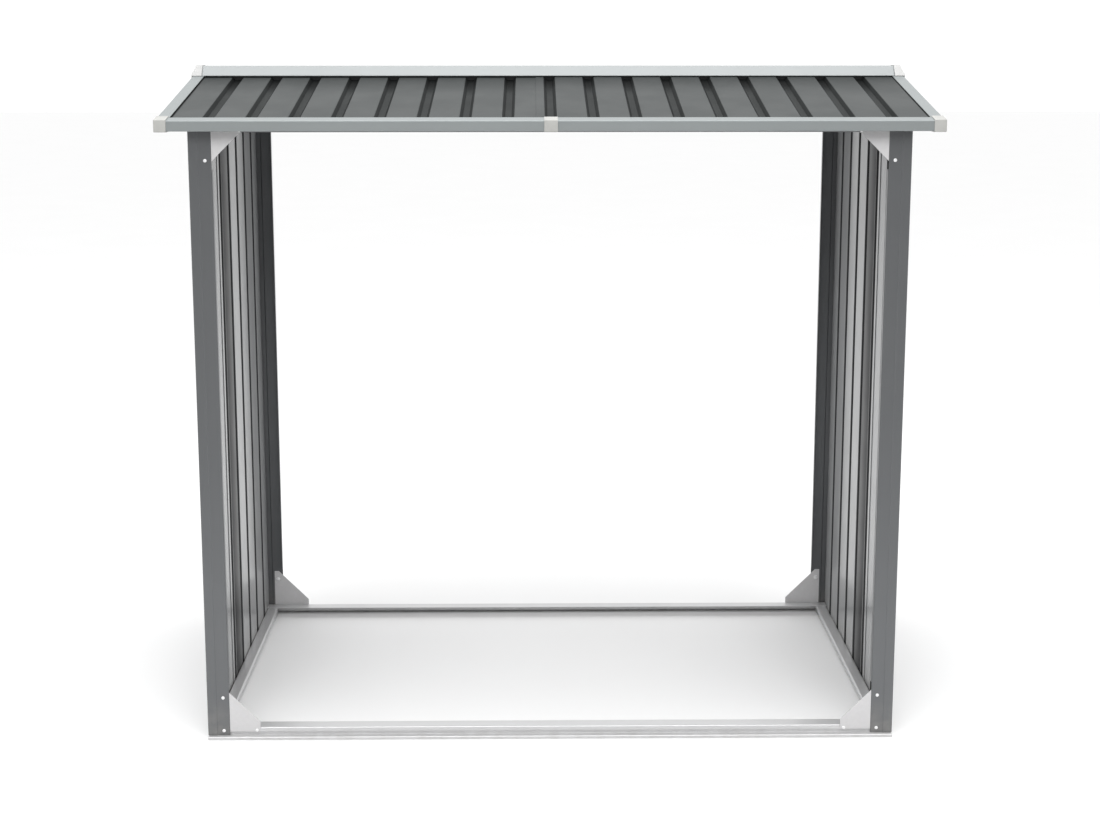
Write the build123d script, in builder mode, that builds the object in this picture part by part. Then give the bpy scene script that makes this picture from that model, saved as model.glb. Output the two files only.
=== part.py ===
from build123d import *

import os
from math import cos, radians, sin, tan

# Log store: a folded steel frame with ribbed side walls, open at the front and the back,
# under a shallow gable roof whose ridge runs from side to side.
# Millimetres. X to the right, Y to the back, Z up, origin on the ground under the middle.

# Overall sizes
frame_width = 1590.0        # over the side legs of the posts
frame_depth = 835.0         # over the flat faces of the posts
side_overhang = 65.0        # post to the outside of the plastic caps
eave_overhang = 37.5
eave_height = 1430.0        # ground to the top edge of the eave trim
roof_pitch = 11.3           # degrees

# Sheet thicknesses and the clearance between pieces that lie on each other
frame_sheet = 1.5
wall_sheet = 1.2
roof_sheet = 1.2
trim_sheet = 1.2
plate_sheet = 1.5
plastic_wall = 1.5
seat = 0.2
bend = 2.0                  # inside radius of the folds

# Base rails
rail_height = 25.6
rail_shelf = 14.4           # from the web outwards, where the posts and the wall sheets stand
shelf_height = 7.8          # skirt from the ground to the shelf
rail_step = 1.5             # the lower part of the web stands back by this
rail_step_height = 14.0
rail_flange = 30.0          # from the web inwards, on top
side_rail_flange = 25.0
side_rail_hem = 9.0         # turned down at the inner edge of the top flange

# Posts
post_face = 51.5            # whole width seen from the front
post_strip = 20.5           # outer strip, which stands proud of the inner face
post_step = 1.5
post_leg = 44.0             # along the side wall
post_lip = 12.0             # turned back at the inner edge

# Header, side rails at the top and the beam under the ridge
header_below_eave = 28.0    # top edge of the eave trim to the underside of the header
header_flange = 36.0
wall_rail_height = 22.0
wall_rail_flange = 25.0
wall_rail_hem = 9.0
beam_half_width = 20.0
beam_drop = 42.0            # depth of the beam's side below the roof sheets
beam_lip = 10.0

# Ribbed sheets
roof_rib_depth = 8.0
wall_rib_depth = 6.0
groove_top = 28.5
groove_bottom = 14.0
roof_groove_pitch = 93.5
wall_groove_pitch = 109.5
lap = 18.0                  # how far a sheet runs past the last groove that it shares
ridge_gap = 2.5             # each sheet stops short of the ridge line
gable_lap = 8.0             # gable sheet on the side rail, and wall sheet under it
panel_gap = 2.0

# Trims
trim_face = 24.0
eave_flange = 25.0
verge_flange = 27.0
trim_return = 12.0
sheet_stop = 1.2            # end of a roof sheet to the inside of its trim, clear of the bend
trim_joint = 1.0            # between the two halves of an eave trim

# Plastic pieces
corner_cap_width = 27.0
corner_cap_depth = 34.0
joint_cover_width = 29.5
ridge_end_width = 24.0
moulded_radius = 2.0        # outer edges of the plastic caps
ridge_end_drop = 22.0
ridge_end_lean = 8.0        # the top of the outer end stands in by this
ridge_end_sweep = 0.7       # part of the lean that is reached at half the height

# Ridge cap
cap_half_width = 33.0
cap_lip = 4.0
cap_top_half = 13.0
cap_rise = 24.2             # lower edge of the cap to its top

# Gusset plates
gusset_reach = 70.0         # from the edge of the post along the rail
gusset_behind_post = 24.0
gusset_tip = 12.0           # width of the narrow end, up or down the post
base_gusset_edge = 24.3     # height of the clipped end on the base rail
header_gusset_edge = 15.0
gusset_clear = 8.0          # the lip of a post stops this short of a plate

slope = tan(radians(roof_pitch))
slope_cos = cos(radians(roof_pitch))
slope_sin = sin(radians(roof_pitch))

roof_width = frame_width + 2 * side_overhang
roof_depth = frame_depth + 2 * eave_overhang
header_bottom = eave_height - header_below_eave

# Outside faces of the trims, inside the plastic caps
trim_front = roof_depth / 2 - plastic_wall - seat
trim_side = roof_width / 2 - plastic_wall - seat

# The roof surface is the top of the flats of the roof sheets
trim_top = seat + trim_sheet / slope_cos
over_trim = trim_top + seat
ridge_z = eave_height - trim_top + trim_front * slope
roof_layer = roof_sheet + seat
under_roof = (roof_rib_depth + roof_layer + roof_sheet + seat) / slope_cos

# Layers from the outside of the frame inwards, on a side and at the front
post_inside_x = frame_width / 2 - frame_sheet
wall_outside_x = post_inside_x - seat
wall_layer = wall_sheet + seat
web_outside_x = wall_outside_x - wall_layer - wall_rib_depth - wall_sheet - seat
web_inside_x = web_outside_x - frame_sheet
gable_outside_x = web_outside_x + seat + wall_sheet

post_inside_y = frame_depth / 2 - frame_sheet
gusset_outside_y = post_inside_y - seat
web_outside_y = gusset_outside_y - plate_sheet - seat
web_inside_y = web_outside_y - frame_sheet
side_end_y = web_inside_y - rail_step - seat

rail_half_length = post_inside_x - seat
post_edge_x = frame_width / 2 - post_face
post_foot = shelf_height + seat
wall_rail_top = header_bottom - seat
wall_rail_bottom = wall_rail_top - wall_rail_height
gable_bottom = wall_rail_top - gable_lap
wall_top = gable_bottom - panel_gap
cap_top = ridge_z - cap_half_width * slope + over_trim + cap_rise


def roof_z(y):
    """Height of the roof surface above the ground at a distance y from the ridge."""
    return ridge_z - abs(y) * slope


def slope_plane():
    """Section plane of the front slope: x to the right, y out of the roof, z to the eave."""
    return Plane(origin=(0, 0, ridge_z), x_dir=(1, 0, 0), z_dir=(0, -slope_cos, -slope_sin))


def folded(plane, line, thickness, start, end):
    """Sheet folded along an open line, its thickness on the left, from start to end."""
    with BuildPart() as piece:
        with BuildSketch(plane.offset(start)):
            with BuildLine():
                FilletPolyline(*line, radius=bend)
                offset(amount=thickness, side=Side.LEFT, kind=Kind.INTERSECTION)
            make_face()
        extrude(amount=end - start)
    return piece


def mirrored(source, about):
    """The same piece on the other side of a plane."""
    with BuildPart() as piece:
        mirror(source.part, about=about)
    return piece


def groove_centres(half_width, pitch):
    """Middles of the grooves, one on the centre line and the rest a pitch apart."""
    a_side = int((half_width - groove_top) // pitch)
    return [n * pitch for n in range(-a_side, a_side + 1)]


def ribbed(first, last, centres, depth):
    """Open line of a ribbed sheet, flats at 0, grooves at -depth or ribs when it is negative."""
    points = [(first, 0)]
    for centre in centres:
        points.append((centre - groove_top / 2, 0))
        points.append((centre - groove_bottom / 2, -depth))
        points.append((centre + groove_bottom / 2, -depth))
        points.append((centre + groove_top / 2, 0))
    points.append((last, 0))
    return points


def ribbed_sheet(plane, line, thickness, layer, length):
    """Ribbed sheet, layer below the surface of the plane, extruded along the plane's z."""
    upper = [(x, y - layer) for x, y in line]
    lower = [(x, y - layer - thickness) for x, y in reversed(line)]
    with BuildPart() as piece:
        with BuildSketch(plane):
            with BuildLine():
                Polyline(*upper, *lower, close=True)
            make_face()
        extrude(amount=length)
    return piece


def notched(rail, flange, low, high):
    """Front rail whose flange is cut back at its ends, to go between the side walls."""
    notch = rail_half_length - web_outside_x
    with BuildPart() as piece:
        add(rail.part)
        for side in (-1, 1):
            with Locations((side * (rail_half_length - notch / 2), -web_inside_y, low)):
                Box(
                    notch,
                    flange,
                    high - low,
                    align=(Align.CENTER, Align.MIN, Align.MIN),
                    mode=Mode.SUBTRACT,
                )
    return piece


pieces = {}


def keep(name, piece):
    """Put a finished piece under the name of its file."""
    pieces[name] = piece


def keep_pair(name, piece):
    """A piece on the left and its mirror image on the right."""
    keep(name + "_left", piece)
    keep(name + "_right", mirrored(piece, Plane.YZ))


# Base rails: a skirt, a shelf outside, a stepped web, and a flange turned in on top
front_rail_line = [
    (-web_outside_y - rail_shelf + frame_sheet, 0),
    (-web_outside_y - rail_shelf + frame_sheet, shelf_height - frame_sheet),
    (-web_inside_y + rail_step, shelf_height - frame_sheet),
    (-web_inside_y + rail_step, rail_step_height),
    (-web_inside_y, rail_step_height + rail_step),
    (-web_inside_y, rail_height - frame_sheet),
    (-web_inside_y + rail_flange, rail_height - frame_sheet),
]
front_rail = folded(Plane.YZ, front_rail_line, frame_sheet, -rail_half_length, rail_half_length)
base_front_rail = notched(front_rail, rail_flange, shelf_height, rail_height)
keep("base_front_rail", base_front_rail)
keep("base_rear_rail", mirrored(base_front_rail, Plane.XZ))

side_rail_top = rail_height - frame_sheet - seat
side_rail_edge = -web_inside_x + side_rail_flange
side_rail_line = [
    (-frame_width / 2 + frame_sheet, 0),
    (-frame_width / 2 + frame_sheet, shelf_height - frame_sheet),
    (-web_inside_x, shelf_height - frame_sheet),
    (-web_inside_x, side_rail_top - frame_sheet),
    (side_rail_edge, side_rail_top - frame_sheet),
    (side_rail_edge, side_rail_top - frame_sheet - side_rail_hem),
]
base_left_rail = folded(Plane.XZ, side_rail_line, frame_sheet, -side_end_y, side_end_y)
keep("base_left_rail", base_left_rail)
keep("base_right_rail", mirrored(base_left_rail, Plane.YZ))

# Corner posts: a leg along the side wall, a proud strip and a face across the front, and a
# lip that stops short of the gusset plates and of the header
post_top = roof_z(frame_depth / 2 + post_step) - under_roof
post_line = [
    (-post_edge_x - frame_sheet, -post_inside_y + post_lip),
    (-post_edge_x - frame_sheet, -post_inside_y),
    (-frame_width / 2 + post_strip + post_step, -post_inside_y),
    (-frame_width / 2 + post_strip, -post_inside_y - post_step),
    (-post_inside_x, -post_inside_y - post_step),
    (-post_inside_x, -post_inside_y + post_leg),
]
post = folded(Plane.XY, post_line, frame_sheet, post_foot, post_top)
gusset_length = gusset_behind_post + gusset_reach
base_gusset_height = base_gusset_edge + gusset_length - gusset_tip
header_gusset_height = header_gusset_edge + gusset_length - gusset_tip
gusset_foot = rail_step_height + rail_step + seat
lip_bottom = gusset_foot + base_gusset_height + gusset_clear
front_lip_top = post_top - header_gusset_height - gusset_clear
rear_lip_top = header_bottom - gusset_clear


def clipped_post(lip_top):
    """Post whose lip runs from above the low plate up to lip_top."""
    with BuildPart() as piece:
        add(post.part)
        for low, high in ((0, lip_bottom), (lip_top, post_top)):
            with Locations((-post_edge_x, -post_inside_y + seat, low)):
                Box(
                    4 * frame_sheet,
                    post_lip,
                    high - low,
                    align=(Align.CENTER, Align.MIN, Align.MIN),
                    mode=Mode.SUBTRACT,
                )
    return piece


keep_pair("post_front", clipped_post(front_lip_top))
keep_pair("post_rear", mirrored(clipped_post(rear_lip_top), Plane.XZ))

# Headers across the front and the back, their top flange lying along the roof
under_sheets = under_roof + frame_sheet / slope_cos
header_line = [
    (-web_inside_y + header_flange, header_bottom + frame_sheet),
    (-web_inside_y, header_bottom + frame_sheet),
    (-web_inside_y, roof_z(web_inside_y) - under_sheets),
    (-web_inside_y + header_flange, roof_z(web_inside_y - header_flange) - under_sheets),
]
header = folded(Plane.YZ, header_line, frame_sheet, -rail_half_length, rail_half_length)
header_front = notched(header, header_flange + frame_sheet, header_bottom, ridge_z)
keep("header_front", header_front)
keep("header_rear", mirrored(header_front, Plane.XZ))

# Rails along the tops of the side walls
wall_rail_line = [
    (-web_inside_x, wall_rail_bottom),
    (-web_inside_x, wall_rail_top - frame_sheet),
    (-web_inside_x + wall_rail_flange, wall_rail_top - frame_sheet),
    (-web_inside_x + wall_rail_flange, wall_rail_top - frame_sheet - wall_rail_hem),
]
keep_pair("wall_rail", folded(Plane.XZ, wall_rail_line, frame_sheet, -side_end_y, side_end_y))

# Side walls: two sheets each with ribs that stand outwards, the rear one lapping inside
wall_centres = groove_centres(side_end_y, wall_groove_pitch)
wall_flat_x = wall_outside_x - wall_rib_depth
wall_plane = Plane(origin=(-wall_flat_x, 0, post_foot), x_dir=(0, 1, 0), z_dir=(0, 0, 1))
past_groove = groove_top / 2 + lap
front_centres = [y for y in wall_centres if y <= 0]
rear_centres = [y for y in wall_centres if y >= -wall_groove_pitch]
rear_start = -wall_groove_pitch - past_groove
front_line = ribbed(-side_end_y, past_groove, front_centres, -wall_rib_depth)
rear_line = ribbed(rear_start, side_end_y, rear_centres, -wall_rib_depth)
wall_height = wall_top - post_foot
for end, line, layer in (("front", front_line, 0), ("rear", rear_line, wall_layer)):
    wall = ribbed_sheet(wall_plane, line, wall_sheet, layer, wall_height)
    keep("wall_left_" + end, wall)
    keep("wall_right_" + end, mirrored(wall, Plane.YZ))

# Gable sheets, from the side rail up to the roof
with BuildPart() as gable_left:
    with BuildSketch(Plane.YZ.offset(-gable_outside_x)):
        with BuildLine():
            Polyline(
                (-side_end_y, gable_bottom),
                (side_end_y, gable_bottom),
                (side_end_y, roof_z(side_end_y) - under_roof),
                (0, ridge_z - under_roof),
                (-side_end_y, roof_z(side_end_y) - under_roof),
                close=True,
            )
        make_face()
    extrude(amount=wall_sheet)
keep_pair("gable", gable_left)

# Beam under the ridge, between the gable sheets
beam_bottom = roof_z(beam_half_width) - under_sheets - beam_drop
beam_line = [
    (-beam_half_width + beam_lip, beam_bottom),
    (-beam_half_width, beam_bottom),
    (-beam_half_width, roof_z(beam_half_width) - under_sheets),
    (0, ridge_z - under_sheets),
    (beam_half_width, roof_z(beam_half_width) - under_sheets),
    (beam_half_width, beam_bottom),
    (beam_half_width - beam_lip, beam_bottom),
]
keep("ridge_beam", folded(Plane.YZ, beam_line, frame_sheet, -web_outside_x, web_outside_x))

# Roof: two ribbed sheets a slope, the right one lapping over the left one at the middle groove
sheet_side = trim_side - trim_sheet - sheet_stop
roof_centres = groove_centres(sheet_side - verge_flange, roof_groove_pitch)
slope_length = (trim_front - trim_sheet - sheet_stop) / slope_cos - ridge_gap
left_centres = [x for x in roof_centres if x <= 0]
right_centres = [x for x in roof_centres if x >= 0]
left_line = ribbed(-sheet_side, past_groove, left_centres, roof_rib_depth)
right_line = ribbed(-past_groove, sheet_side, right_centres, roof_rib_depth)
roof_plane = slope_plane().offset(ridge_gap)
for side, line, layer in (("left", left_line, roof_layer), ("right", right_line, 0)):
    sheet = ribbed_sheet(roof_plane, line, roof_sheet, layer, slope_length)
    keep("roof_front_" + side, sheet)
    keep("roof_rear_" + side, mirrored(sheet, Plane.XZ))

# Eave trims, in two halves that meet under a cover in the middle
eave_bottom = eave_height - trim_face
eave_y = -trim_front + trim_sheet
eave_line = [
    (eave_y + trim_return, eave_bottom + trim_sheet),
    (eave_y, eave_bottom + trim_sheet),
    (eave_y, roof_z(eave_y) + seat),
    (eave_y + eave_flange, roof_z(eave_y + eave_flange) + seat),
]
eave_trim = folded(Plane.YZ, eave_line, trim_sheet, -trim_side + seat, -trim_joint / 2)
keep_pair("eave_trim_front", eave_trim)
keep_pair("eave_trim_rear", mirrored(eave_trim, Plane.XZ))

# Verge trims, up the sides of the roof from the eave trims to the ridge
verge_x = -trim_side + trim_sheet
verge_line = [
    (verge_x + trim_return, -trim_face + trim_sheet),
    (verge_x, -trim_face + trim_sheet),
    (verge_x, seat),
    (verge_x + verge_flange, seat),
]
verge_end = (-eave_y - eave_flange - trim_top * slope_sin - seat) / slope_cos
verge_start = ridge_gap + trim_face * slope_sin
verge_trim = folded(slope_plane(), verge_line, trim_sheet, verge_start, verge_end)
keep_pair("verge_trim_front", verge_trim)
keep_pair("verge_trim_rear", mirrored(verge_trim, Plane.XZ))


def cap_outline(front, rear, bottom, rise):
    """Section of a corner cap, or of its hollow, rise above the roof surface."""
    return [
        (front, bottom),
        (rear, bottom),
        (rear, roof_z(rear) + rise),
        (front, roof_z(front) + rise),
    ]


# Plastic caps over the four corners of the roof, open to the eave trim and the verge trim
cap_front = -roof_depth / 2
cap_rear = cap_front + corner_cap_depth
cap_bottom = eave_bottom - seat - plastic_wall
cap_shell = cap_outline(cap_front, cap_rear, cap_bottom, over_trim + plastic_wall / slope_cos)
cap_hollow = cap_outline(
    cap_front + plastic_wall, cap_rear + plastic_wall, cap_bottom + plastic_wall, over_trim
)
with BuildPart() as corner_cap:
    with BuildSketch(Plane.YZ.offset(-roof_width / 2)):
        with BuildLine():
            Polyline(*cap_shell, close=True)
        make_face()
    extrude(amount=corner_cap_width)
    side_edges = corner_cap.faces().sort_by(Axis.X)[0].edges().sort_by(Axis.Y)[:-1]
    front_edges = corner_cap.faces().sort_by(Axis.Y)[0].edges().sort_by(Axis.X)[1:-1]
    fillet(side_edges + front_edges, radius=moulded_radius)
    with BuildSketch(Plane.YZ.offset(-roof_width / 2 + plastic_wall)):
        with BuildLine():
            Polyline(*cap_hollow, close=True)
        make_face()
    extrude(amount=corner_cap_width, mode=Mode.SUBTRACT)
keep_pair("corner_cap_front", corner_cap)
keep_pair("corner_cap_rear", mirrored(corner_cap, Plane.XZ))

# Plastic covers over the joints of the eave trims
cover_y = -trim_front - seat
cover_line = [
    (cover_y + trim_return, eave_bottom - seat),
    (cover_y, eave_bottom - seat),
    (cover_y, roof_z(cover_y) + over_trim),
    (cover_y + eave_flange, roof_z(cover_y + eave_flange) + over_trim),
]
half_cover = joint_cover_width / 2
joint_cover_front = folded(Plane.YZ, cover_line, plastic_wall, -half_cover, half_cover)
keep("joint_cover_front", joint_cover_front)
keep("joint_cover_rear", mirrored(joint_cover_front, Plane.XZ))

# Ridge cap over both slopes and the verge trims, its ends inside the plastic ends
lip_z = roof_z(cap_half_width) + over_trim
cap_line = [
    (-cap_half_width, lip_z),
    (-cap_half_width + cap_lip, lip_z + cap_lip * slope),
    (-cap_top_half, cap_top - trim_sheet),
    (cap_top_half, cap_top - trim_sheet),
    (cap_half_width - cap_lip, lip_z + cap_lip * slope),
    (cap_half_width, lip_z),
]
cap_end = roof_width / 2 - plastic_wall - ridge_end_lean - seat
keep("ridge_cap", folded(Plane.YZ, cap_line, trim_sheet, -cap_end, cap_end))

# Plastic ends of the ridge: a hood over the cap and the verge trims, whose closed outer end
# sweeps in towards its top and hangs down over the joint of the verge trims
hood_x = -roof_width / 2
hood_half = cap_half_width + trim_sheet * slope_sin + seat
hood_top_half = cap_top_half + trim_sheet + seat
hood_low = roof_z(hood_half) + over_trim
over_lip = hood_low + trim_sheet / slope_cos + 2 * seat
hood_high = cap_top + seat
sweep_low = ridge_z + over_trim


def hood_block(wall):
    """Block of the ridge end, or of its hollow when the wall is 0, swept in at the outside."""
    end_x = hood_x + plastic_wall - wall
    top = hood_high + wall
    half_height = (sweep_low + top) / 2
    cut_half = hood_half + 2 * plastic_wall
    with BuildPart() as block:
        with BuildSketch(Plane.YZ.offset(end_x)) as section:
            with BuildLine():
                Polyline(
                    (-hood_half - wall, hood_low),
                    (-hood_half - wall, over_lip),
                    (-hood_top_half - wall, top),
                    (hood_top_half + wall, top),
                    (hood_half + wall, over_lip),
                    (hood_half + wall, hood_low),
                    close=True,
                )
            make_face()
            top_corners = section.vertices().group_by(Axis.Y)[-1]
            fillet(top_corners, radius=moulded_radius - plastic_wall + wall)
        extrude(amount=ridge_end_width)
        with BuildSketch(Plane.XZ.offset(-cut_half)):
            with BuildLine():
                ThreePointArc(
                    (end_x, sweep_low),
                    (end_x + ridge_end_sweep * ridge_end_lean, half_height),
                    (end_x + ridge_end_lean, top),
                )
                Polyline((end_x + ridge_end_lean, top), (end_x, top), (end_x, sweep_low))
            make_face()
        extrude(amount=2 * cut_half, mode=Mode.SUBTRACT)
    return block


plate_half = hood_half + plastic_wall
plate_side_low = roof_z(plate_half) - ridge_end_drop
with BuildPart() as ridge_end_left:
    add(hood_block(plastic_wall).part)
    add(hood_block(0).part, mode=Mode.SUBTRACT)
    with BuildSketch(Plane.YZ.offset(hood_x)):
        with BuildLine():
            Polyline(
                (-plate_half, hood_low),
                (plate_half, hood_low),
                (plate_half, plate_side_low),
                (0, ridge_z - ridge_end_drop),
                (-plate_half, plate_side_low),
                close=True,
            )
        make_face()
    extrude(amount=plastic_wall)
keep_pair("ridge_end", ridge_end_left)


def gusset(edge, height, corner_z, up):
    """Corner plate in the front plane, with its square corner behind the post."""
    corner_x = -post_edge_x - gusset_behind_post
    outline = [
        (0, 0),
        (gusset_length, 0),
        (gusset_length, edge),
        (gusset_tip, height),
        (0, height),
    ]
    with BuildPart() as plate:
        with BuildSketch(Plane.XZ.offset(gusset_outside_y - plate_sheet)):
            with BuildLine():
                Polyline(*[(corner_x + x, corner_z + up * z) for x, z in outline], close=True)
            make_face()
        extrude(amount=plate_sheet)
    return plate


# Corner plates between the posts and the rails, at the bottom and at the top of the front
low_gusset = gusset(base_gusset_edge, base_gusset_height, gusset_foot, 1)
high_gusset = gusset(header_gusset_edge, header_gusset_height, post_top, -1)
keep_pair("gusset_low_front", low_gusset)
keep_pair("gusset_low_rear", mirrored(low_gusset, Plane.XZ))
keep_pair("gusset_high_front", high_gusset)

os.makedirs("parts", exist_ok=True)
for name, piece in pieces.items():
    piece.part.label = name
    export_step(piece.part, f"parts/{name}.step")
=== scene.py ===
from math import cos, pi, radians, sin

import bmesh
import bpy
from bpy.props import FloatProperty, FloatVectorProperty, PointerProperty
from mathutils import Matrix, Vector


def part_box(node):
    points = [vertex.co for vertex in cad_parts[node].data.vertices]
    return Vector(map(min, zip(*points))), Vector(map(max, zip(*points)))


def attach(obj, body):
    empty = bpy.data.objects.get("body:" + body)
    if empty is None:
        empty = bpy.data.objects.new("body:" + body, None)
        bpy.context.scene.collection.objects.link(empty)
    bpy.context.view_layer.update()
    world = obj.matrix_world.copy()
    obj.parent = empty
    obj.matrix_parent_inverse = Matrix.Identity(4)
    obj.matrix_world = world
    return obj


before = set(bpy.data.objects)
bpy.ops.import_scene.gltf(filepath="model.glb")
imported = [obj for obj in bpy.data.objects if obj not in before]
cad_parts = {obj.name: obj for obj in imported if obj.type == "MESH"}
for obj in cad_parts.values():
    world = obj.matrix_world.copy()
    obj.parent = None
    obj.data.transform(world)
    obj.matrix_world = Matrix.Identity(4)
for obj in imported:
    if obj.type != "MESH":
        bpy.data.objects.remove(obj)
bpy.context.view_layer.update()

bl_info = {
    "name": "Log store",
    "version": (1, 0, 0),
    "blender": (4, 5, 0),
    "location": "View3D > Sidebar > Log store",
    "description": "Finishes, fasteners and studio for a steel log store",
    "category": "Object",
}


def colour(name, description, default):
    """Colour property in linear values."""
    return FloatVectorProperty(
        name=name,
        description=description,
        default=default,
        subtype="COLOR",
        size=3,
        min=0.0,
        max=1.0,
    )


def length(name, description, default):
    """Length property in metres."""
    return FloatProperty(
        name=name,
        description=description,
        default=default,
        min=0.0,
        unit="LENGTH",
        subtype="DISTANCE",
        precision=5,
    )


def angle(name, description, default):
    """Angle property in radians."""
    return FloatProperty(
        name=name,
        description=description,
        default=default,
        subtype="ANGLE",
    )


def factor(name, description, default):
    """Property from 0 to 1."""
    return FloatProperty(
        name=name,
        description=description,
        default=default,
        min=0.0,
        max=1.0,
        subtype="FACTOR",
    )


def power(name, description, default):
    """Power of a light in watts."""
    return FloatProperty(
        name=name,
        description=description,
        default=default,
        min=0.0,
        unit="POWER",
    )


class LogStoreFinishes(bpy.types.PropertyGroup):
    """Colours and gloss of the sheets and the plastic pieces"""

    graphite: colour("Graphite", "Paint of the posts, headers and top rails", (0.14, 0.145, 0.15))
    wall: colour("Wall", "Paint of the side walls and gables", (0.15, 0.155, 0.16))
    wall_back: colour("Wall back", "Paint on the inner side of the walls", (0.35, 0.355, 0.36))
    roof: colour("Roof", "Paint of the roof sheets", (0.029, 0.034, 0.034))
    trim: colour("Trim", "Silver paint of the eave and verge trims", (0.262, 0.283, 0.285))
    cap: colour("Cap", "Silver paint of the ridge cap", (0.3, 0.315, 0.318))
    zinc: colour("Zinc", "Base rails", (0.62, 0.62, 0.625))
    plate: colour("Plate", "Bright corner plates", (0.59, 0.585, 0.59))
    bolt: colour("Bolt", "Bright zinc of the bolts and nuts", (0.85, 0.85, 0.855))
    grey_plastic: colour("Grey plastic", "Corner caps and joint covers", (0.4, 0.4, 0.383))
    pale_plastic: colour("Pale plastic", "Ends of the ridge", (0.48, 0.48, 0.475))
    foam: colour("Foam", "Closure strips under the ridge cap", (0.012, 0.012, 0.013))
    paint_roughness: factor("Paint roughness", "Roughness of the dark paint", 0.36)
    trim_roughness: factor("Trim roughness", "Roughness of the silver paint", 0.42)
    zinc_roughness: factor("Zinc roughness", "Roughness of bare galvanised steel", 0.34)
    plastic_roughness: factor("Plastic roughness", "Roughness of moulded plastic", 0.5)
    edge_radius: length("Edge radius", "Softening of sheet edges by the shader", 0.0006)


class LogStoreFasteners(bpy.types.PropertyGroup):
    """Sizes of the bolts and screws"""

    head_diameter: length("Head", "Diameter of a domed bolt head", 0.008)
    head_height: length("Head height", "Height of a domed bolt head", 0.0023)
    washer_diameter: length("Washer", "Diameter of the washer under a nut", 0.0118)
    washer_thickness: length("Washer thickness", "Thickness of the washer", 0.001)
    nut_width: length("Nut", "Width of a nut across its flats", 0.008)
    nut_height: length("Nut height", "Height of a nut", 0.004)
    bolt_diameter: length("Bolt", "Diameter of the thread", 0.005)
    bolt_end: length("Bolt end", "Length of the bolt past its nut", 0.003)
    thread_pitch: length("Thread pitch", "Distance between the turns of the thread", 0.0008)
    column_x: length("Bolt line", "Middle of the store to the bolts in the posts", 0.758)
    plate_x: length("Plate line", "Middle of the store to the screws in the plates", 0.682)
    foot_z: length("Lowest bolt", "Ground to the bolts in the base rails", 0.019)
    low_z: length("Low bolt", "Ground to the bolts in the lower plates", 0.099)
    high_z: length("High bolt", "Ground to the bolts in the upper plates", 1.3405)
    header_z: length("Header bolt", "Ground to the bolts in the headers", 1.4065)
    rear_z: length("Rear bolt", "Ground to the bolts of the rear posts in the header", 1.412)
    post_step: length("Post step", "Strip of a post to its inner face", 0.0015)
    web_depth: length("Web depth", "Back of a plate to the back of the rail", 0.0017)


class LogStoreRoof(bpy.types.PropertyGroup):
    """Lie of the roof and of the walls, for the closure strips and for the shade painted into
    grooves, ribs and laps, beside the trims and at the top of each slope
    """

    ridge_z: length("Ridge", "Ground to the line where the two slopes meet", 1.519154)
    fall: FloatProperty(name="Fall", description="Drop of the roof a metre", default=0.199823)
    half_width: length("Half width", "Middle of the store to the end of a strip", 0.826)
    pitch: length("Groove pitch", "Distance between the grooves of the roof", 0.0935)
    groove_top: length("Groove top", "Width of a groove at its top", 0.0285)
    groove_bottom: length("Groove bottom", "Width of a groove at its bottom", 0.014)
    groove_depth: length("Groove depth", "Depth of a groove", 0.008)
    lap: length("Lap", "Middle of the store to the edge of the upper sheet", 0.03225)
    layer: length("Layer", "Step down to the lower sheet", 0.0014)
    strip_start: length("Strip start", "Ridge to a closure strip, down the slope", 0.0185)
    strip_end: length("Strip end", "Ridge to the far edge of a closure strip", 0.0305)
    strip_rise: length("Strip rise", "Roof to the top of a closure strip", 0.0012)
    clearance: length("Clearance", "Roof sheet to the strip on it", 0.0001)
    verge_edge: length("Verge edge", "Middle of the store to the edge of a verge trim", 0.8301)
    cap_edge: length("Cap edge", "Ridge to the edge of the ridge cap", 0.033)
    trim_shadow: length("Trim shadow", "Width of the shadow beside a trim", 0.006)
    top_fade: length("Top fade", "Ridge to where the shade at the top of a slope ends", 0.22)
    top_shade: factor("Top shade", "Shade at the top of a slope", 0.4)
    groove_shade: factor("Groove shade", "Shade at the bottom of a groove", 0.62)
    side_shade: factor("Side shade", "Shade added to the side of a groove", 0.4)
    wall_flat: length("Wall flat", "Middle of the store to the start of a wall's ribs", 0.7849)
    rib_shade: factor("Rib shade", "Shade in the ribs of a wall seen from the inside", 0.95)
    # The dull lap is a band on the inside of each wall with painted shade: darker, rougher and less
    # shiny.
    wall_lap_shade: factor("Wall lap shade", "Shade at the rear of the dull lap of a wall", 0.75)
    wall_sheet_edge: FloatProperty(
        name="Wall sheet edge", description="Front edge of the rear sheet of a wall", default=-0.14175
    )
    wall_lap_start: FloatProperty(
        name="Wall lap", description="Front edge of the dull lap of a wall", default=-0.094
    )
    wall_lap_end: FloatProperty(
        name="Wall lap end", description="Rear edge of the dull lap of a wall", default=-0.012
    )


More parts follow.
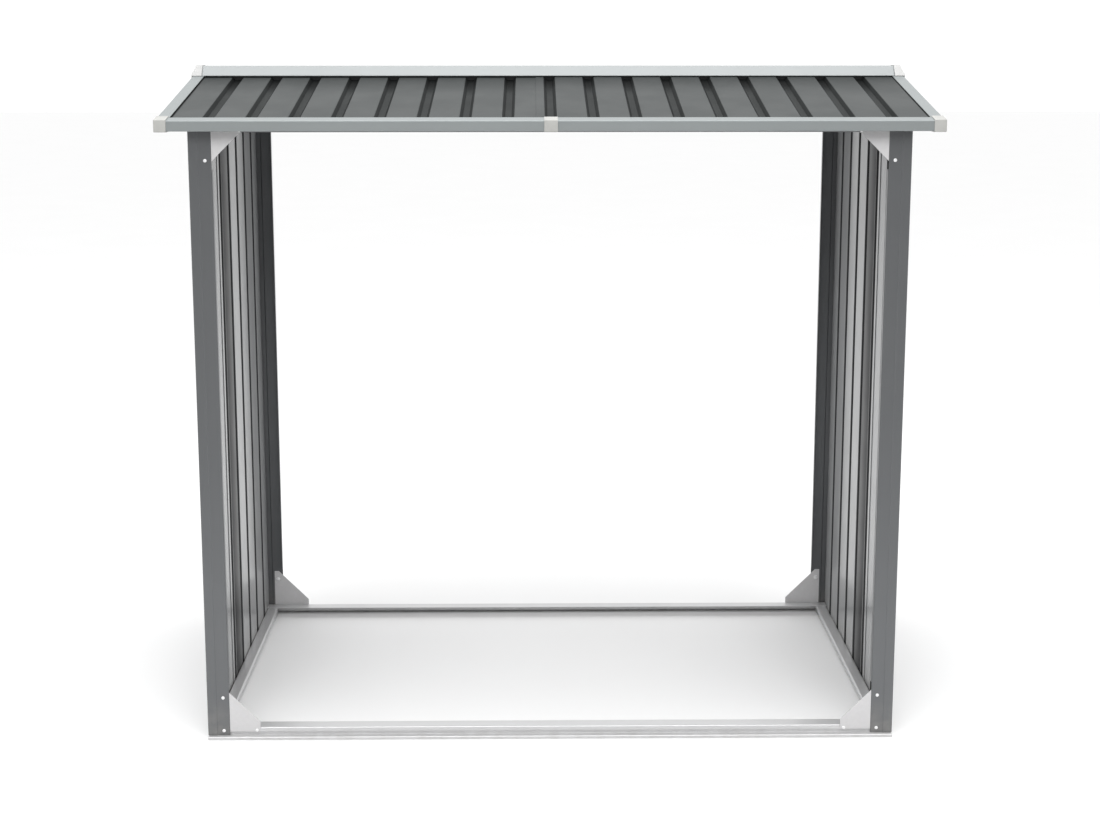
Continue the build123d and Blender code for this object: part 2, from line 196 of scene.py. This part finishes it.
class LogStoreStudio(bpy.types.PropertyGroup):
    """Floor, light and camera"""

    floor_size: length("Floor", "Width of the floor", 60.0)
    floor_white: factor("Floor white", "Floor round and behind the store", 0.93)
    floor_blend: FloatVectorProperty(
        name="Floor blend",
        description="Depths between which the front of the floor turns into the white floor",
        default=(-2.4, -0.9),
        size=2,
    )
    floor_front: factor("Floor front", "Floor in front of the store", 0.6)
    sky_back: FloatProperty(
        name="Backdrop", description="Light from behind the store", default=1.12, min=0.0
    )
    sky_front: factor("Front", "Light from the horizon in front of the store", 0.22)
    overhead_power: power("Overhead", "Power of the softbox overhead", 70.0)
    front_power: power("Front box", "Power of the softbox in front", 70.0)
    lens: FloatProperty(name="Lens", description="Focal length", default=53.38, unit="CAMERA")
    camera_distance: length("Distance", "Camera to the middle of the store", 4.0)
    camera_height: length("Height", "Camera above the ground", 1.617)
    camera_side: length("Side", "Camera left of the middle", 0.042)
    camera_tilt: angle("Tilt", "Camera down from level", radians(9.2))
    camera_turn: angle("Turn", "Camera turned to the right", radians(0.64))
    camera_shift: factor("Shift", "Picture moved up, as a share of its width", 115 / 1100)


# Geometry of the fasteners


def facing(point, outward):
    """Place of a fastener: its foot at the point, its z axis outwards."""
    turn = Vector(outward).to_track_quat("Z", "Y").to_matrix().to_4x4()
    return Matrix.Translation(point) @ turn


def lathe(mesh, place, profile, sides, turn=0.0):
    """Turned shape with its profile given as radius and height, from the bottom to the top."""
    rings = []
    for radius, height in profile:
        count = sides if radius > 0 else 1
        ring = []
        for step in range(count):
            around = turn + 2 * pi * step / sides
            corner = Vector((radius * cos(around), radius * sin(around), height))
            ring.append(mesh.verts.new(place @ corner))
        rings.append(ring)
    for low, high in zip(rings, rings[1:]):
        for step in range(sides):
            after = (step + 1) % sides
            corners = []
            for vertex in (
                low[step % len(low)],
                low[after % len(low)],
                high[after % len(high)],
                high[step % len(high)],
            ):
                if vertex not in corners:
                    corners.append(vertex)
            mesh.faces.new(corners)


def domed_head(mesh, point, outward, sizes):
    """Domed bolt head with a thin rim."""
    radius = sizes.head_diameter / 2
    height = sizes.head_height
    profile = [
        (radius * 0.93, 0.0),
        (radius, height * 0.06),
        (radius, height * 0.16),
        (radius * 0.95, height * 0.34),
        (radius * 0.85, height * 0.56),
        (radius * 0.68, height * 0.78),
        (radius * 0.46, height * 0.92),
        (radius * 0.22, height * 0.985),
        (0.0, height),
    ]
    lathe(mesh, facing(point, outward), profile, 32)


def nut_set(mesh, point, outward, sizes):
    """Washer, six-sided nut with chamfered corners, and the threaded end of the bolt."""
    place = facing(point, outward)
    rim = sizes.washer_diameter / 2
    thickness = sizes.washer_thickness
    edge = thickness * 0.15
    washer = [(rim - edge, 0.0), (rim, edge), (rim, thickness - edge), (rim - edge, thickness)]
    lathe(mesh, place, washer + [(0.0, thickness)], 32)
    corner = sizes.nut_width / 2 / cos(pi / 6)
    chamfer = sizes.nut_height * 0.12
    top = thickness + sizes.nut_height
    nut = [
        (corner * 0.93, thickness),
        (corner, thickness + chamfer),
        (corner, top - chamfer),
        (corner * 0.93, top),
        (0.0, top),
    ]
    lathe(mesh, place, nut, 6, pi / 6)
    outer = sizes.bolt_diameter / 2
    root = outer - sizes.thread_pitch * 0.5
    turns = int(sizes.bolt_end / sizes.thread_pitch)
    thread = []
    for turn in range(turns):
        thread.append((root, top + turn * sizes.thread_pitch))
        thread.append((outer, top + (turn + 0.5) * sizes.thread_pitch))
    end = top + turns * sizes.thread_pitch
    tip = end + sizes.thread_pitch * 0.3
    thread += [(root, end), (root * 0.9, tip), (0.0, tip)]
    lathe(mesh, place, thread, 20)


def closure_strip(mesh, roof, end):
    """Foam strip on one slope, flat on top and shaped to the grooves of the two sheets below."""
    underside = [(-roof.half_width, -roof.layer)]
    a_side = int(roof.half_width / roof.pitch)
    for groove in range(-a_side, a_side + 1):
        middle = groove * roof.pitch
        level = -roof.layer if middle < -roof.lap else 0.0
        if groove == 0:
            underside.append((-roof.lap, -roof.layer))
            underside.append((-roof.lap, 0.0))
        underside.append((middle - roof.groove_top / 2, level))
        underside.append((middle - roof.groove_bottom / 2, level - roof.groove_depth))
        underside.append((middle + roof.groove_bottom / 2, level - roof.groove_depth))
        underside.append((middle + roof.groove_top / 2, level))
    underside.append((roof.half_width, 0.0))
    stretch = (1 + roof.fall**2) ** 0.5
    rows = []
    for down in (roof.strip_start, roof.strip_end):
        low = []
        high = []
        for x, level in underside:
            for row, rise in ((low, level + roof.clearance), (high, roof.strip_rise)):
                y = -(down + rise * roof.fall) / stretch
                z = roof.ridge_z + (rise - down * roof.fall) / stretch
                row.append(mesh.verts.new((x, end * y, z)))
        rows += [low, high]
    near_low, near_high, far_low, far_high = rows
    for first, second in (
        (near_low, near_high),
        (near_high, far_high),
        (far_high, far_low),
        (far_low, near_low),
    ):
        for step in range(len(underside) - 1):
            mesh.faces.new((first[step], first[step + 1], second[step + 1], second[step]))
    for step in (0, -1):
        mesh.faces.new((near_low[step], near_high[step], far_high[step], far_low[step]))


def put_piece(name, mesh, material):
    """Object from the mesh, smooth where its faces meet at a small angle, fixed to the store."""
    bmesh.ops.recalc_face_normals(mesh, faces=mesh.faces)
    data = bpy.data.meshes.new(name)
    mesh.to_mesh(data)
    mesh.free()
    data.shade_smooth()
    data.set_sharp_from_angle(angle=radians(38))
    piece = bpy.data.objects.new(name, data)
    bpy.context.scene.collection.objects.link(piece)
    data.materials.append(material)
    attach(piece, "root")


# Materials

SEAM = 0.0005  # width of the seam where a mask steps from one sheet to the next
BLUR = 0.002  # softening at the edge of a band
SIDE_RANGE = (0.15, 0.45)  # tilt at which a face becomes the side of a groove
INNER_RANGE = (0.1, 0.35)  # distance from the middle times tilt, for the inside of a wall


class Finish:
    """Material with its colour, roughness and bump worked out from noise at real scale."""

    def __init__(self, name):
        self.material = bpy.data.materials.new(name)
        self.material.use_nodes = True
        self.tree = self.material.node_tree
        self.shader = self.tree.nodes["Principled BSDF"]
        coordinates = self.tree.nodes.new("ShaderNodeTexCoord")
        self.place = coordinates.outputs["Object"]
        self.normal = coordinates.outputs["Normal"]
        self.heights = []

    def noise(self, per_metre, detail=3.0, stretch=(1.0, 1.0, 1.0)):
        """Noise from 0 to 1 with so many waves a metre."""
        spread = self.tree.nodes.new("ShaderNodeMapping")
        spread.inputs["Scale"].default_value = stretch
        self.tree.links.new(self.place, spread.inputs["Vector"])
        texture = self.tree.nodes.new("ShaderNodeTexNoise")
        texture.inputs["Scale"].default_value = per_metre
        texture.inputs["Detail"].default_value = detail
        self.tree.links.new(spread.outputs["Vector"], texture.inputs["Vector"])
        return texture.outputs["Fac"]

    def cells(self, per_metre):
        """Random value for each crystal of a zinc coat."""
        texture = self.tree.nodes.new("ShaderNodeTexVoronoi")
        texture.inputs["Scale"].default_value = per_metre
        self.tree.links.new(self.place, texture.inputs["Vector"])
        grey = self.tree.nodes.new("ShaderNodeRGBToBW")
        self.tree.links.new(texture.outputs["Color"], grey.inputs["Color"])
        return grey.outputs["Val"]

    def span(self, value, low, high, start=0.0, end=1.0):
        """Value between start and end, spread over low to high."""
        node = self.tree.nodes.new("ShaderNodeMapRange")
        node.interpolation_type = "SMOOTHSTEP"
        node.inputs["From Min"].default_value = low
        node.inputs["From Max"].default_value = high
        node.inputs["To Min"].default_value = start
        node.inputs["To Max"].default_value = end
        self.tree.links.new(value, node.inputs["Value"])
        return node.outputs["Result"]

    def maths(self, operation, first, second):
        """Result of an operation on two values, each a socket or a number."""
        node = self.tree.nodes.new("ShaderNodeMath")
        node.operation = operation
        for value, socket in ((first, node.inputs[0]), (second, node.inputs[1])):
            if isinstance(value, (int, float)):
                socket.default_value = value
            else:
                self.tree.links.new(value, socket)
        return node.outputs["Value"]

    def blend(self, amount, first, second):
        """Mix of two colours, each a socket or three numbers."""
        node = self.tree.nodes.new("ShaderNodeMix")
        node.data_type = "RGBA"
        self.tree.links.new(amount, node.inputs["Factor"])
        for value, socket in ((first, node.inputs["A"]), (second, node.inputs["B"])):
            if isinstance(value, tuple):
                socket.default_value = (*value, 1.0)
            else:
                self.tree.links.new(value, socket)
        return node.outputs["Result"]

    def edges(self, radius):
        """Mask of the edges, and the normal that rounds them off."""
        node = self.tree.nodes.new("ShaderNodeBevel")
        node.samples = 4
        node.inputs["Radius"].default_value = radius
        plain = self.tree.nodes.new("ShaderNodeNewGeometry")
        product = self.tree.nodes.new("ShaderNodeVectorMath")
        product.operation = "DOT_PRODUCT"
        self.tree.links.new(node.outputs["Normal"], product.inputs[0])
        self.tree.links.new(plain.outputs["Normal"], product.inputs[1])
        self.soft_normal = node.outputs["Normal"]
        return self.span(product.outputs["Value"], 0.97, 0.8)

    def part(self, vector, axis):
        """One axis of a vector."""
        split = self.tree.nodes.new("ShaderNodeSeparateXYZ")
        self.tree.links.new(vector, split.inputs["Vector"])
        return split.outputs[axis]

    def along(self, axis):
        """Distance along one axis of the store."""
        return self.part(self.place, axis)

    def above_ground(self, top):
        """Mask that is 1 on the ground and 0 from the top upwards."""
        return self.span(self.along("Z"), top, 0.0)

    def sideways(self):
        """How far a face looks to the right, below 0 where it looks to the left."""
        return self.part(self.normal, "X")

    def inner_side(self):
        """Mask of the faces of a side wall that look into the store."""
        outwards = self.maths("MULTIPLY", self.sideways(), self.along("X"))
        return self.span(self.maths("MULTIPLY", outwards, -1.0), *INNER_RANGE)

    def roof_shadow(self, roof):
        """Mask of painted shade in the grooves, on the sheets beside the trims and at the top of a
        slope under the cap.
        """
        away = self.maths("ABSOLUTE", self.along("Y"), 0.0)
        lower = self.span(self.along("X"), -roof.lap, -roof.lap - SEAM, 0.0, roof.layer)
        fallen = self.maths("ADD", self.maths("MULTIPLY", away, roof.fall), lower)
        level = self.maths("ADD", self.along("Z"), fallen)
        flat = roof.ridge_z - 0.0006
        groove = self.span(level, flat, flat - roof.groove_depth * 0.12)
        steep = self.maths("ABSOLUTE", self.sideways(), 0.0)
        side = self.span(steep, *SIDE_RANGE, 0.0, roof.side_shade)
        under_cap = self.span(away, roof.top_fade, roof.cap_edge)
        dark = self.maths("MAXIMUM", side, under_cap)
        deep = self.span(dark, 0.0, 1.0, roof.groove_shade, 1.0)
        across = self.maths("ABSOLUTE", self.along("X"), 0.0)
        verge = self.span(across, roof.verge_edge - roof.trim_shadow, roof.verge_edge - 0.0015)
        cap = self.span(away, roof.cap_edge + roof.trim_shadow, roof.cap_edge + BLUR)
        top = self.span(away, roof.top_fade, roof.cap_edge, 0.0, roof.top_shade)
        edge = self.maths("MAXIMUM", self.maths("MAXIMUM", verge, cap), top)
        return self.maths("MAXIMUM", self.maths("MULTIPLY", groove, deep), edge)

    def wall_shadow(self, roof):
        """Mask of painted shade in the ribs of a wall seen from the inside, and in its lap, fading to
        the rear.
        """
        start = roof.wall_lap_start
        risen = self.span(self.along("Y"), start - BLUR, start)
        lap = self.span(self.along("Y"), roof.wall_lap_end, start, roof.wall_lap_shade, 1.0)
        behind = self.span(self.along("Y"), roof.wall_lap_end + BLUR, roof.wall_lap_end)
        lap = self.maths("MULTIPLY", self.maths("MULTIPLY", risen, behind), lap)
        edge = roof.wall_sheet_edge
        step = self.span(self.along("Y"), edge, edge - SEAM, 0.0, roof.layer)
        out = self.maths("SUBTRACT", self.maths("ABSOLUTE", self.along("X"), 0.0), step)
        rib = self.span(out, roof.wall_flat, roof.wall_flat + 0.0012, 0.0, roof.rib_shade)
        return self.maths("MULTIPLY", self.maths("MAXIMUM", lap, rib), self.inner_side())

    def bump(self, height, distance, strength=1.0):
        """Adds relief of so many metres."""
        self.heights.append((height, distance, strength))

    def connect(self, base, rough):
        """Puts colour, roughness and relief on the shader."""
        self.tree.links.new(base, self.shader.inputs["Base Color"])
        self.tree.links.new(rough, self.shader.inputs["Roughness"])
        normal = self.soft_normal
        for height, distance, strength in self.heights:
            node = self.tree.nodes.new("ShaderNodeBump")
            node.inputs["Distance"].default_value = distance
            node.inputs["Strength"].default_value = strength
            self.tree.links.new(height, node.inputs["Height"])
            self.tree.links.new(normal, node.inputs["Normal"])
            normal = node.outputs["Normal"]
        self.tree.links.new(normal, self.shader.inputs["Normal"])
        return self.material


def shade(base, amount):
    """Colour made lighter or darker by a factor."""
    return tuple(min(1.0, channel * amount) for channel in base)


def painted_sheet(
    name, base, roughness, metallic, edge_radius, specular=0.5, shadow=None, inside=None
):
    """Coated steel sheet: orange peel, faint clouds, dust low down, worn edges, painted shade in
    recesses.
    """
    finish = Finish(name)
    base = tuple(base)
    clouds = finish.span(finish.noise(4.0, 4.0), 0.3, 0.7)
    tone = finish.blend(clouds, shade(base, 0.985), shade(base, 1.015))
    specks = finish.span(finish.noise(700.0, 2.0), 0.58, 0.75, 0.0, 0.12)
    tone = finish.blend(specks, tone, shade(base, 1.2))
    if inside:
        tone = finish.blend(finish.inner_side(), tone, tuple(inside))
    spread = finish.span(finish.noise(38.0, 5.0), 0.3, 0.7, 0.15, 0.5)
    dust = finish.maths("MULTIPLY", finish.above_ground(0.11), spread)
    tone = finish.blend(dust, tone, (0.3, 0.29, 0.275))
    worn = finish.span(finish.noise(60.0, 5.0), 0.5, 0.66)
    wear = finish.maths("MULTIPLY", finish.edges(edge_radius), worn)
    tone = finish.blend(finish.maths("MULTIPLY", wear, 0.5), tone, (0.42, 0.43, 0.44))
    rough = finish.span(finish.noise(9.0, 4.0), 0.3, 0.7, roughness - 0.02, roughness + 0.03)
    rough = finish.maths("ADD", rough, finish.maths("MULTIPLY", dust, 0.25))
    finish.shader.inputs["Metallic"].default_value = metallic
    if shadow:
        mask, roof = shadow
        # Painted shade: the mask darkens the colour and dulls the shine in grooves, ribs and laps,
        # beside the trims and under the ridge cap.
        painted_shade = mask(finish, roof)
        tone = finish.blend(painted_shade, tone, shade(base, 0.15))
        rough = finish.maths("ADD", rough, finish.maths("MULTIPLY", painted_shade, 0.2))
        shine = finish.span(painted_shade, 0.0, 1.0, specular, specular * 0.2)
        finish.tree.links.new(shine, finish.shader.inputs["Specular IOR Level"])
    else:
        finish.shader.inputs["Specular IOR Level"].default_value = specular
    finish.bump(finish.noise(620.0, 2.0), 0.00006, 0.5)
    return finish.connect(tone, rough)


def zinc_sheet(name, base, roughness, metallic, edge_radius, crystal=55.0):
    """Galvanised sheet: pale crystals, dull patches, fine draw lines and dust low down."""
    finish = Finish(name)
    base = tuple(base)
    crystals = finish.cells(crystal)
    tone = finish.blend(crystals, shade(base, 0.975), shade(base, 1.02))
    patches = finish.span(finish.noise(11.0, 6.0), 0.5, 0.72, 0.0, 0.4)
    tone = finish.blend(patches, tone, shade(base, 0.95))
    spread = finish.span(finish.noise(45.0, 5.0), 0.35, 0.7, 0.05, 0.25)
    dust = finish.maths("MULTIPLY", finish.above_ground(0.02), spread)
    tone = finish.blend(dust, tone, (0.36, 0.345, 0.32))
    wear = finish.edges(edge_radius)
    tone = finish.blend(finish.maths("MULTIPLY", wear, 0.35), tone, shade(base, 1.25))
    rough = finish.span(crystals, 0.0, 1.0, roughness - 0.03, roughness + 0.03)
    rough = finish.maths("ADD", rough, finish.maths("MULTIPLY", patches, 0.18))
    finish.bump(crystals, 0.00002, 0.2)
    finish.bump(finish.noise(240.0, 3.0, (1.0, 1.0, 0.15)), 0.00004, 0.4)
    finish.shader.inputs["Metallic"].default_value = metallic
    return finish.connect(tone, rough)


def moulded_plastic(name, base, roughness, edge_radius):
    """Moulded plastic: even tone with faint flow clouds, fine grain and chalky edges."""
    finish = Finish(name)
    base = tuple(base)
    clouds = finish.span(finish.noise(32.0, 4.0), 0.35, 0.68)
    tone = finish.blend(clouds, shade(base, 0.95), shade(base, 1.03))
    grime = finish.span(finish.noise(60.0, 3.0), 0.55, 0.8, 0.0, 0.15)
    tone = finish.blend(grime, tone, shade(base, 0.85))
    wear = finish.edges(edge_radius)
    tone = finish.blend(finish.maths("MULTIPLY", wear, 0.5), tone, shade(base, 1.2))
    rough = finish.span(finish.noise(70.0, 3.0), 0.3, 0.7, roughness - 0.05, roughness + 0.07)
    finish.bump(finish.noise(1100.0, 2.0), 0.00005, 0.5)
    return finish.connect(tone, rough)


def paint_nodes(starts, material):
    """Gives the material to every CAD node whose name begins in one of these ways."""
    found = 0
    for name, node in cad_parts.items():
        if name.startswith(starts):
            found += 1
            if not node.material_slots:
                node.data.materials.append(material)
            for slot in node.material_slots:
                slot.material = material
    if found == 0:
        raise RuntimeError(f"no CAD node is called {starts}")


class LOGSTORE_OT_dark_sheets(bpy.types.Operator):
    """Paint the posts, headers, rails, walls, gables and roof sheets"""

    bl_idname = "logstore.dark_sheets"
    bl_label = "Dark sheets"

    def execute(self, context):
        looks = context.scene.log_store_finishes
        roof = context.scene.log_store_roof
        frame_paint = painted_sheet(
            "graphite_paint", looks.graphite, looks.paint_roughness, 0.55, looks.edge_radius
        )
        wall_paint = painted_sheet(
            "wall_paint",
            looks.wall,
            looks.paint_roughness - 0.2,
            0.1,
            looks.edge_radius,
            specular=0.14,
            shadow=(Finish.wall_shadow, roof),
            inside=looks.wall_back,
        )
        roof_paint = painted_sheet(
            "roof_paint",
            looks.roof,
            looks.paint_roughness + 0.05,
            0.0,
            looks.edge_radius,
            specular=0.23,
            shadow=(Finish.roof_shadow, roof),
        )
        paint_nodes(("post_", "header_", "wall_rail_", "ridge_beam"), frame_paint)
        paint_nodes(("wall_left_", "wall_right_", "gable_"), wall_paint)
        paint_nodes(("roof_",), roof_paint)
        return {"FINISHED"}


class LOGSTORE_OT_silver_trims(bpy.types.Operator):
    """Paint the eave trims, the verge trims and the ridge cap"""

    bl_idname = "logstore.silver_trims"
    bl_label = "Silver trims"

    def execute(self, context):
        looks = context.scene.log_store_finishes
        for name, base, nodes in (
            ("silver_paint", looks.trim, ("eave_trim_", "verge_trim_")),
            ("pale_silver_paint", looks.cap, ("ridge_cap",)),
        ):
            silver = painted_sheet(name, base, looks.trim_roughness, 0.35, looks.edge_radius)
            paint_nodes(nodes, silver)
        return {"FINISHED"}


class LOGSTORE_OT_zinc_pieces(bpy.types.Operator):
    """Give the base rails and the corner plates their galvanised look"""

    bl_idname = "logstore.zinc_pieces"
    bl_label = "Zinc rails and plates"

    def execute(self, context):
        looks = context.scene.log_store_finishes
        rails = zinc_sheet("zinc_rails", looks.zinc, looks.zinc_roughness, 0.45, looks.edge_radius)
        plates = zinc_sheet(
            "zinc_plates",
            looks.plate,
            looks.zinc_roughness + 0.16,
            0.0,
            looks.edge_radius,
            crystal=140.0,
        )
        paint_nodes(("base_",), rails)
        paint_nodes(("gusset_",), plates)
        return {"FINISHED"}


class LOGSTORE_OT_plastic_pieces(bpy.types.Operator):
    """Give the corner caps, joint covers and ridge ends their moulded look"""

    bl_idname = "logstore.plastic_pieces"
    bl_label = "Plastic caps"

    def execute(self, context):
        looks = context.scene.log_store_finishes
        for name, base, nodes in (
            ("grey_plastic", looks.grey_plastic, ("corner_cap_", "joint_cover_")),
            ("pale_plastic", looks.pale_plastic, ("ridge_end_",)),
        ):
            plastic = moulded_plastic(name, base, looks.plastic_roughness, looks.edge_radius)
            paint_nodes(nodes, plastic)
        return {"FINISHED"}


class LOGSTORE_OT_frame_bolts(bpy.types.Operator):
    """Bolts through the posts, plates, base rails and headers, with their nuts inside"""

    bl_idname = "logstore.frame_bolts"
    bl_label = "Frame bolts"

    def execute(self, context):
        sizes = context.scene.log_store_fasteners
        looks = context.scene.log_store_finishes
        bright = zinc_sheet("bolt_zinc", looks.bolt, 0.3, 0.2, looks.edge_radius, crystal=400.0)
        face_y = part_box("post_front_left")[0][1] + sizes.post_step
        plate_y, plate_back = (corner[1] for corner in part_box("gusset_low_front_left"))
        web_back = plate_back + sizes.web_depth
        both = [
            (sizes.column_x, sizes.foot_z, face_y, web_back),
            (sizes.column_x, sizes.low_z, face_y, plate_back),
            (sizes.plate_x, sizes.foot_z, plate_y, web_back),
        ]
        front = [
            (sizes.column_x, sizes.high_z, face_y, plate_back),
            (sizes.plate_x, sizes.header_z, plate_y, web_back),
        ]
        rear = [(sizes.column_x, sizes.rear_z, face_y, web_back)]
        heads = bmesh.new()
        nuts = bmesh.new()
        for end, bolts in ((1, both + front), (-1, both + rear)):
            for side in (1, -1):
                for x, z, outside, inside in bolts:
                    domed_head(heads, (side * x, end * outside, z), (0, -end, 0), sizes)
                    nut_set(nuts, (side * x, end * inside, z), (0, end, 0), sizes)
        put_piece("frame_bolt_heads", heads, bright)
        put_piece("frame_bolt_nuts", nuts, bright)
        return {"FINISHED"}


class LOGSTORE_OT_closure_strips(bpy.types.Operator):
    """Foam strips that fill the grooves of the roof under the ridge cap"""

    bl_idname = "logstore.closure_strips"
    bl_label = "Closure strips"

    def execute(self, context):
        foam = moulded_plastic("closure_foam", context.scene.log_store_finishes.foam, 0.9, 0.0003)
        strips = bmesh.new()
        for end in (1, -1):
            closure_strip(strips, context.scene.log_store_roof, end)
        put_piece("ridge_closure_strips", strips, foam)
        return {"FINISHED"}


class LOGSTORE_OT_stage(bpy.types.Operator):
    """Floor, backdrop light, softboxes and the camera"""

    bl_idname = "logstore.stage"
    bl_label = "Studio"

    def execute(self, context):
        studio = context.scene.log_store_studio
        self.floor(context, studio)
        self.backdrop(context, studio)
        for name, watts, size, place in (
            ("overhead_box", studio.overhead_power, (4.0, 3.0), (0.0, -0.6, 3.8)),
            ("front_box", studio.front_power, (4.0, 1.6), (0.0, -3.4, 3.4)),
        ):
            self.softbox(context, name, watts, size, place, (0.0, 0.0, 0.9))
        lens = bpy.data.cameras.new("camera")
        lens.lens = studio.lens
        lens.sensor_width = 36.0
        lens.shift_y = -studio.camera_shift
        lens.clip_end = 200.0
        camera = bpy.data.objects.new("camera", lens)
        camera.location = (-studio.camera_side, -studio.camera_distance, studio.camera_height)
        tilt = radians(90) - studio.camera_tilt
        camera.rotation_euler = (tilt, 0.0, -studio.camera_turn)
        context.scene.collection.objects.link(camera)
        context.scene.camera = camera
        context.scene.view_settings.view_transform = "Standard"
        return {"FINISHED"}

    def floor(self, context, studio):
        """Pale floor, whiter round and behind the store than in front of it."""
        mesh = bmesh.new()
        bmesh.ops.create_grid(mesh, x_segments=8, y_segments=8, size=studio.floor_size / 2)
        data = bpy.data.meshes.new("studio_floor")
        mesh.to_mesh(data)
        mesh.free()
        floor = bpy.data.objects.new("studio_floor", data)
        context.scene.collection.objects.link(floor)
        finish = Finish("floor_paint")
        near = finish.span(finish.along("Y"), *studio.floor_blend)
        front = (studio.floor_front, studio.floor_front, studio.floor_front)
        white = (studio.floor_white, studio.floor_white, studio.floor_white)
        tone = finish.blend(near, front, white)
        mottle = finish.span(finish.noise(2.0, 4.0), 0.3, 0.7, 0.0, 0.02)
        tone = finish.blend(mottle, tone, (0.6, 0.6, 0.6))
        finish.tree.links.new(tone, finish.shader.inputs["Base Color"])
        finish.shader.inputs["Roughness"].default_value = 0.85
        finish.shader.inputs["Specular IOR Level"].default_value = 0.15
        data.materials.append(finish.material)

    def backdrop(self, context, studio):
        """World that is white behind and above the store and grey low in front of it."""
        world = bpy.data.worlds.new("studio_world")
        world.use_nodes = True
        tree = world.node_tree
        place = tree.nodes.new("ShaderNodeTexCoord")
        split = tree.nodes.new("ShaderNodeSeparateXYZ")
        tree.links.new(place.outputs["Generated"], split.inputs["Vector"])
        spans = []
        for axis, low, high in (("Y", -0.75, -0.1), ("Z", 0.15, 0.7)):
            node = tree.nodes.new("ShaderNodeMapRange")
            node.interpolation_type = "SMOOTHSTEP"
            node.inputs["From Min"].default_value = low
            node.inputs["From Max"].default_value = high
            node.inputs["To Min"].default_value = studio.sky_front
            node.inputs["To Max"].default_value = studio.sky_back
            tree.links.new(split.outputs[axis], node.inputs["Value"])
            spans.append(node.outputs["Result"])
        brighter = tree.nodes.new("ShaderNodeMath")
        brighter.operation = "MAXIMUM"
        tree.links.new(spans[0], brighter.inputs[0])
        tree.links.new(spans[1], brighter.inputs[1])
        tree.links.new(brighter.outputs["Value"], tree.nodes["Background"].inputs["Strength"])
        tree.nodes["Background"].inputs["Color"].default_value = (1.0, 1.0, 1.0, 1.0)
        context.scene.world = world

    def softbox(self, context, name, watts, size, place, aim):
        """Rectangular area light at a place, turned to a point."""
        light = bpy.data.lights.new(name, "AREA")
        light.shape = "RECTANGLE"
        light.size, light.size_y = size
        light.energy = watts
        box = bpy.data.objects.new(name, light)
        box.location = place
        box.rotation_euler = (Vector(place) - Vector(aim)).to_track_quat("Z", "Y").to_euler()
        context.scene.collection.objects.link(box)


class LOGSTORE_PT_panel(bpy.types.Panel):
    """Buttons for the pieces of the log store"""

    bl_idname = "LOGSTORE_PT_panel"
    bl_label = "Log store"
    bl_space_type = "VIEW_3D"
    bl_region_type = "UI"
    bl_category = "Log store"

    def draw(self, context):
        for operator in OPERATORS:
            self.layout.operator(operator.bl_idname)
        for group in (
            context.scene.log_store_finishes,
            context.scene.log_store_fasteners,
            context.scene.log_store_roof,
            context.scene.log_store_studio,
        ):
            box = self.layout.box()
            for name in group.bl_rna.properties.keys():
                if name not in ("rna_type", "name"):
                    box.prop(group, name)


OPERATORS = (
    LOGSTORE_OT_dark_sheets,
    LOGSTORE_OT_silver_trims,
    LOGSTORE_OT_zinc_pieces,
    LOGSTORE_OT_plastic_pieces,
    LOGSTORE_OT_frame_bolts,
    LOGSTORE_OT_closure_strips,
    LOGSTORE_OT_stage,
)
CLASSES = (
    LogStoreFinishes,
    LogStoreFasteners,
    LogStoreRoof,
    LogStoreStudio,
    *OPERATORS,
    LOGSTORE_PT_panel,
)


def register():
    for item in CLASSES:
        bpy.utils.register_class(item)
    bpy.types.Scene.log_store_finishes = PointerProperty(type=LogStoreFinishes)
    bpy.types.Scene.log_store_fasteners = PointerProperty(type=LogStoreFasteners)
    bpy.types.Scene.log_store_roof = PointerProperty(type=LogStoreRoof)
    bpy.types.Scene.log_store_studio = PointerProperty(type=LogStoreStudio)


def unregister():
    del bpy.types.Scene.log_store_studio
    del bpy.types.Scene.log_store_roof
    del bpy.types.Scene.log_store_fasteners
    del bpy.types.Scene.log_store_finishes
    for item in reversed(CLASSES):
        bpy.utils.unregister_class(item)


def main():
    register()
    bpy.ops.logstore.dark_sheets()
    bpy.ops.logstore.silver_trims()
    bpy.ops.logstore.zinc_pieces()
    bpy.ops.logstore.plastic_pieces()
    bpy.ops.logstore.frame_bolts()
    bpy.ops.logstore.closure_strips()
    bpy.ops.logstore.stage()


if __name__ == "__main__":
    main()
